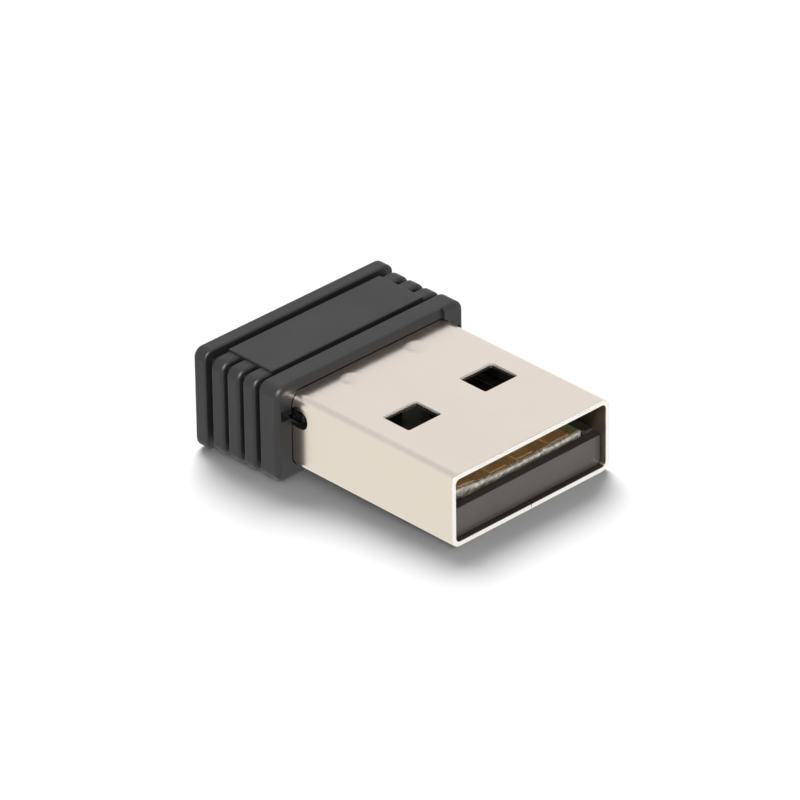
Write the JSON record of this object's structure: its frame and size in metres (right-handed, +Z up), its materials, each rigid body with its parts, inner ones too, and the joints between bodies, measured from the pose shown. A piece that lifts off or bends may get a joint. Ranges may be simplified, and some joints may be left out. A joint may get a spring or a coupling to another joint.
{
  "type": "usb wifi adapter",
  "caption": "Nano wireless network adapter: a metal USB-A plug with a short ribbed black plastic cap that covers the antenna end of its circuit board.",
  "frame": {"origin": "on the axis of the USB plug, in the plane of the collar face that stops the plug", "axes": "-Y along the plug, out of its mouth; +Y towards the cap's end; +Z up, the side that the contacts face; +X to the right when looking into the mouth"},
  "size_m": [0.0144, 0.019, 0.0062],
  "materials": {
    "shell_plate": "satin nickel-plated steel sheet",
    "cap_plastic": "fine-textured black moulding",
    "carrier_plastic": "smooth black moulding",
    "board_laminate": "green solder mask on glass-epoxy laminate",
    "gold_plating": "bright gold-plated copper",
    "track_copper": "copper track",
    "tinned_metal": "dull tin",
    "lid_metal": "satin plated lid",
    "chip_epoxy": "moulded black epoxy",
    "crystal_ceramic": "fired ceramic",
    "ferrite": "sintered ferrite",
    "capacitor_ceramic": "fired ceramic",
    "resistor_glaze": "black glaze on alumina",
    "filter_ceramic": "white ceramic",
    "coil_ceramic": "grey-blue ceramic"
  },
  "bodies": {
    "root": {"usb_shell": "shell_plate", "pcb_carrier": "carrier_plastic", "circuit_board": "board_laminate", "contact_vbus": "gold_plating", "contact_data_minus": "gold_plating", "contact_data_plus": "gold_plating", "contact_ground": "gold_plating", "wifi_chip": "chip_epoxy", "wifi_chip_terminals": "tinned_metal", "crystal_base": "crystal_ceramic", "crystal_lid": "lid_metal", "voltage_regulator": "chip_epoxy", "voltage_regulator_leads": "tinned_metal", "power_inductor": "ferrite", "power_inductor_terminals": "tinned_metal", "bulk_capacitors": "capacitor_ceramic", "bulk_capacitor_terminals": "tinned_metal", "bypass_capacitors": "capacitor_ceramic", "bypass_capacitor_terminals": "tinned_metal", "resistors": "resistor_glaze", "resistor_terminals": "tinned_metal", "rf_filter": "filter_ceramic", "rf_filter_terminals": "tinned_metal", "matching_coils": "coil_ceramic", "matching_coil_terminals": "tinned_metal", "antenna_trace": "track_copper", "shell_solder_joints": "tinned_metal", "cap_housing": "cap_plastic"}
  },
  "joints": []
}
